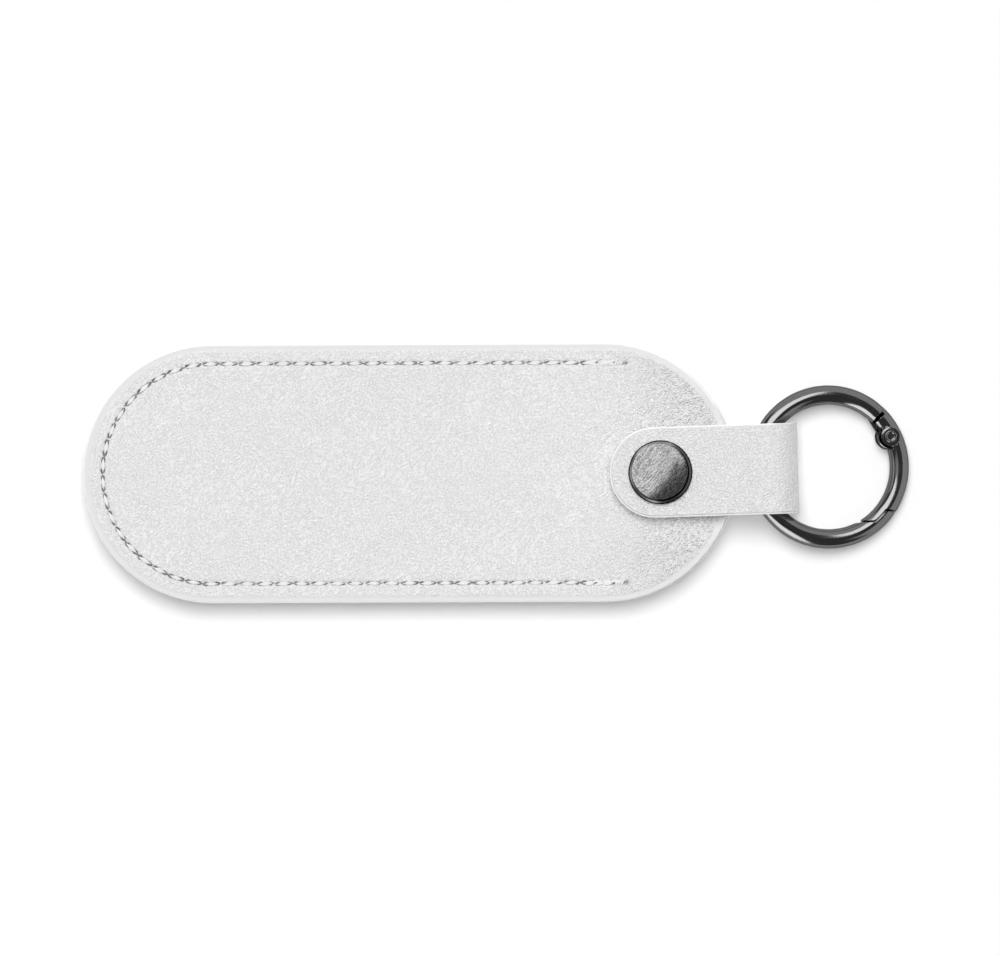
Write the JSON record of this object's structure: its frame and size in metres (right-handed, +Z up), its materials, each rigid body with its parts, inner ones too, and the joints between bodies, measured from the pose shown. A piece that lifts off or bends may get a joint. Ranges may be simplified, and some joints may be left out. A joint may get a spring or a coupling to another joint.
{
  "type": "faux leather keychain",
  "caption": "Flat sewn white faux leather pouch with round ends, closed by a press-stud strap that holds a spring-gate ring.",
  "frame": {"origin": "midway along the overall length, on the pouch's centre line, level with the surface that the keychain lies on", "axes": "+X from the pouch's closed end to the ring, +Y across the pouch, +Z up out of its front panel"},
  "size_m": [0.1277, 0.04, 0.0102],
  "materials": {
    "faux_leather": "white faux leather with a fine pebble grain",
    "strap_leather": "white faux leather with a fine pebble grain, cut edges sealed",
    "thread": "white twisted sewing thread",
    "gunmetal_stud": "brushed gunmetal plating",
    "gunmetal_ring": "polished gunmetal plating",
    "spring_steel": "bare spring wire"
  },
  "bodies": {
    "pouch": {"front_panel": "faux_leather", "back_panel": "faux_leather", "seam_thread_front": "thread", "seam_thread_back": "thread", "snap_stud": "gunmetal_stud", "snap_post": "gunmetal_stud"},
    "strap": {"strap_loop": "strap_leather", "rear_rivet_cap": "gunmetal_stud", "rear_rivet_post": "gunmetal_stud"},
    "flap": {"strap_flap": "strap_leather", "snap_cap": "gunmetal_stud", "snap_socket": "gunmetal_stud", "snap_spring": "spring_steel"},
    "ring": {"ring_frame": "gunmetal_ring", "gate_pin": "gunmetal_ring", "gate_spring": "spring_steel"},
    "gate": {"ring_gate": "gunmetal_ring"}
  },
  "joints": [
    {"name": "strap_swivel", "type": "hinge", "parent": "pouch", "child": "strap", "pos_m": [0.02533, 0, 0.0045], "axis": [0, 0, 1], "range_deg": [-36.6, 33.4]},
    {"name": "flap_open", "type": "hinge", "parent": "strap", "child": "flap", "pos_m": [0.03723, 0.00033, 0.00942], "axis": [-0.0279, 0.9996, 0], "range_deg": [0, 90]},
    {"name": "ring_swing", "type": "hinge", "parent": "strap", "child": "ring", "pos_m": [0.04178, 0.00046, 0.0049], "axis": [0.0279, -0.9996, 0], "range_deg": [-81.5, 98.5]},
    {"name": "gate_open", "type": "hinge", "parent": "ring", "child": "gate", "pos_m": [0.0608, 0.0054, 0.00204], "axis": [-0.1477, -0.0041, -0.989], "range_deg": [0, 38], "stiffness_Nm_per_rad": 0.004, "springref_deg": -45.84}
  ]
}
